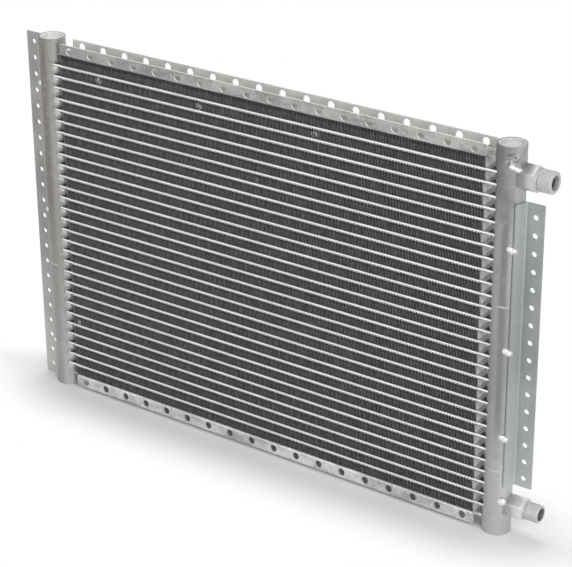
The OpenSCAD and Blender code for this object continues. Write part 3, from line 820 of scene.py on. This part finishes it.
class COIL_OT_turn_fittings(bpy.types.Operator):
    """Turns the two fittings with their threads"""

    bl_idname = "coil.turn_fittings"
    bl_label = "Turn Fittings"

    def execute(self, context):
        sizes = context.scene.coil_sizes
        colours = context.scene.coil_colours
        low, high = corners("right_header")
        header = ((low[0] + high[0]) / 2, (high[1] - low[1]) / 2)
        for node, pitch, colour in (("inlet_fitting", sizes.inlet_pitch, colours.inlet),
                                    ("outlet_fitting", sizes.outlet_pitch, colours.outlet)):
            middle = sum(corners(node)) / 2
            material = fitting_finish(node, colour, colours.thread, header[0] + FITTINGS[node][0],
                                      (middle[1], middle[2]), FITTINGS[node][2], FITTINGS[node][3],
                                      BORE_SHADES[node])
            turned_fitting(node, pitch, header, material)
        return {"FINISHED"}


class COIL_OT_finish_headers(bpy.types.Operator):
    """Gives the headers, their caps and their baffles a finish"""

    bl_idname = "coil.finish_headers"
    bl_label = "Finish Headers"

    def execute(self, context):
        colours = context.scene.coil_colours
        for name, inner in (("left_header", 1), ("right_header", 0)):
            side = corners(name)[inner][0]
            slots = [side + offset for offset in SLOT_HIGHLIGHT[name]]
            dress([name], header_finish(name, getattr(colours, name), colours.lit_header_foot, slots))
        dress(["left_top_cap", "left_bottom_cap"], cap_finish("left_cap", colours.left_cap))
        dress(["right_top_cap", "right_bottom_cap"], cap_finish("right_cap", colours.cap))
        dress([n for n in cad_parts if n.endswith("_baffle")], baffle_finish(colours.inner))
        return {"FINISHED"}


class COIL_OT_finish_sheets(bpy.types.Operator):
    """Gives the side plates and the brackets a finish"""

    bl_idname = "coil.finish_sheets"
    bl_label = "Finish Plates and Brackets"

    def execute(self, context):
        colours = context.scene.coil_colours
        dress(["top_side_plate"], plate_finish("top_side_plate", colours.top_plate, True))
        dress(["bottom_side_plate"], plate_finish("bottom_side_plate", colours.bottom_plate, False))
        for side in ("left", "right"):
            low, high = corners(f"{side}_header")
            name = f"{side}_bracket"
            dress([name], bracket_finish(name, getattr(colours, name), float(low[0] + high[0]) / 2))
        return {"FINISHED"}


class COIL_OT_finish_tubes(bpy.types.Operator):
    """Gives the flat tubes a finish"""

    bl_idname = "coil.finish_tubes"
    bl_label = "Finish Flat Tubes"

    def execute(self, context):
        dress(TUBES, flat_tube_finish(context.scene.coil_colours.tube))
        return {"FINISHED"}


class COIL_OT_finish_welds(bpy.types.Operator):
    """Gives the welds a finish"""

    bl_idname = "coil.finish_welds"
    bl_label = "Finish Welds"

    def execute(self, context):
        dress(["inlet_weld", "outlet_weld", "left_bracket_welds", "right_bracket_welds"],
              weld_finish(context.scene.coil_colours.weld))
        return {"FINISHED"}


def seen_directly(tree):
    """Is 1 for camera rays, also reflected or through something clear, and 0 for other light."""
    rays = tree.nodes.new("ShaderNodeLightPath")
    camera, glossy, through = (Level(tree, rays.outputs[name]) for name in (
        "Is Camera Ray", "Is Glossy Ray", "Is Transmission Ray"))
    return camera + glossy + through


def area_light(name, place, aim, size, power):
    """A square soft light that looks from a place towards a point."""
    data = bpy.data.lights.new(name, "AREA")
    data.shape = "SQUARE"
    data.size = size
    data.energy = power
    lamp = bpy.data.objects.new(name, data)
    lamp.location = place
    lamp.rotation_euler = (Vector(aim) - Vector(place)).to_track_quat("-Z", "Y").to_euler()
    bpy.context.scene.collection.objects.link(lamp)


class COIL_OT_set_stage(bpy.types.Operator):
    """Sets the floor, the white surroundings, the soft lights and the camera"""

    bl_idname = "coil.set_stage"
    bl_label = "Set Stage"

    def execute(self, context):
        scene = context.scene
        self.lay_floor(scene)
        self.light_world(scene)
        for name, place, power in LIGHTS:
            area_light(name, place, LIGHT_AIM, LIGHT_SIZE, power)
        self.aim_camera(scene, Vector(CAMERA_PLACE), Vector(CAMERA_TARGET),
                        math.radians(CAMERA_ROLL), CAMERA_FOCAL)
        scene.view_settings.view_transform = "Standard"
        return {"FINISHED"}

    def lay_floor(self, scene):
        """Lays a floor that keeps the shadow near the part and is white to the camera elsewhere."""
        mesh = bpy.data.meshes.new("studio_floor")
        ends = ((-1, -1), (1, -1), (1, 1), (-1, 1))
        mesh.from_pydata([(x * FLOOR_SPAN, y * FLOOR_SPAN, 0) for x, y in ends], [], [(0, 1, 2, 3)])
        floor = bpy.data.objects.new("studio_floor", mesh)
        floor.location.z = CAD_BOX[0][2] - FLOOR_DROP
        scene.collection.objects.link(floor)
        f = Finish("studio_floor")
        mesh.materials.append(f.finish(scene.coil_colours.floor, 0.9, 0.0))
        glow = f.node("ShaderNodeEmission", None, {"Color": (1, 1, 1), "Strength": 1.0})
        reach = f.fade(abs(f.along("X")), *SHADOW_X, 0.0, SHADOW_REACH)
        clear = f.fade(abs(f.along("Y")) + reach, *SHADOW_Y)
        share = f.fade(seen_directly(f.tree), 0.0, 1.0) * clear
        mix = f.node("ShaderNodeMixShader", None,
                     {0: share, 1: f.shader.outputs[0], 2: glow.outputs[0]})
        f.tree.links.new(mix.outputs[0], f.output.inputs["Surface"])

    def light_world(self, scene):
        """Lights the part evenly from all round and shows white to the camera."""
        world = bpy.data.worlds.new("studio_world")
        world.use_nodes = True
        tree = world.node_tree
        tree.nodes.clear()
        seen = seen_directly(tree)
        dim, white = (tree.nodes.new("ShaderNodeBackground") for _ in range(2))
        for background, strength in ((dim, WORLD_STRENGTH), (white, 1.0)):
            background.inputs["Color"].default_value = (1, 1, 1, 1)
            background.inputs["Strength"].default_value = strength
        mix = tree.nodes.new("ShaderNodeMixShader")
        out = tree.nodes.new("ShaderNodeOutputWorld")
        tree.links.new(seen.socket, mix.inputs[0])
        tree.links.new(dim.outputs[0], mix.inputs[1])
        tree.links.new(white.outputs[0], mix.inputs[2])
        tree.links.new(mix.outputs[0], out.inputs["Surface"])
        scene.world = world

    def aim_camera(self, scene, place, target, roll, focal_pixels):
        """Puts the camera at a place, aimed at a target and rolled by an angle."""
        data = bpy.data.cameras.new("photo_camera")
        data.sensor_fit = "HORIZONTAL"
        data.sensor_width = SENSOR_WIDTH
        data.lens = data.sensor_width * focal_pixels / FRAME_W
        data.clip_end = CLIP_END
        camera = bpy.data.objects.new("photo_camera", data)
        ahead = (target - place).normalized()
        right = ahead.cross(Vector((0, 0, 1))).normalized()
        up = right.cross(ahead)
        tilted = right * math.cos(roll) + up * math.sin(roll)
        raised = up * math.cos(roll) - right * math.sin(roll)
        turn = Matrix((tilted, raised, -ahead)).transposed()
        camera.matrix_world = Matrix.Translation(place) @ turn.to_4x4()
        scene.collection.objects.link(camera)
        scene.camera = camera


class COIL_PT_panel(bpy.types.Panel):
    """Lists the sizes, the colours and the steps"""

    bl_idname = "COIL_PT_panel"
    bl_label = "Condenser Coil"
    bl_space_type = "VIEW_3D"
    bl_region_type = "UI"
    bl_category = "Coil"

    def draw(self, context):
        for group in (context.scene.coil_sizes, context.scene.coil_colours):
            for name in group.__annotations__:
                self.layout.prop(group, name)
        for step in STEPS:
            self.layout.operator(step.bl_idname)


STEPS = (COIL_OT_finish_headers, COIL_OT_finish_sheets, COIL_OT_finish_tubes, COIL_OT_finish_welds,
         COIL_OT_fold_fins, COIL_OT_turn_fittings, COIL_OT_set_stage)
CLASSES = (CoilSizes, CoilColours, *STEPS, COIL_PT_panel)


def register():
    for made in CLASSES:
        bpy.utils.register_class(made)
    bpy.types.Scene.coil_sizes = bpy.props.PointerProperty(type=CoilSizes)
    bpy.types.Scene.coil_colours = bpy.props.PointerProperty(type=CoilColours)


def unregister():
    del bpy.types.Scene.coil_colours
    del bpy.types.Scene.coil_sizes
    for made in reversed(CLASSES):
        bpy.utils.unregister_class(made)


def main():
    register()
    bpy.ops.coil.finish_headers()
    bpy.ops.coil.finish_sheets()
    bpy.ops.coil.finish_tubes()
    bpy.ops.coil.finish_welds()
    bpy.ops.coil.fold_fins()
    bpy.ops.coil.turn_fittings()
    bpy.ops.coil.set_stage()


if __name__ == "__main__":
    main()
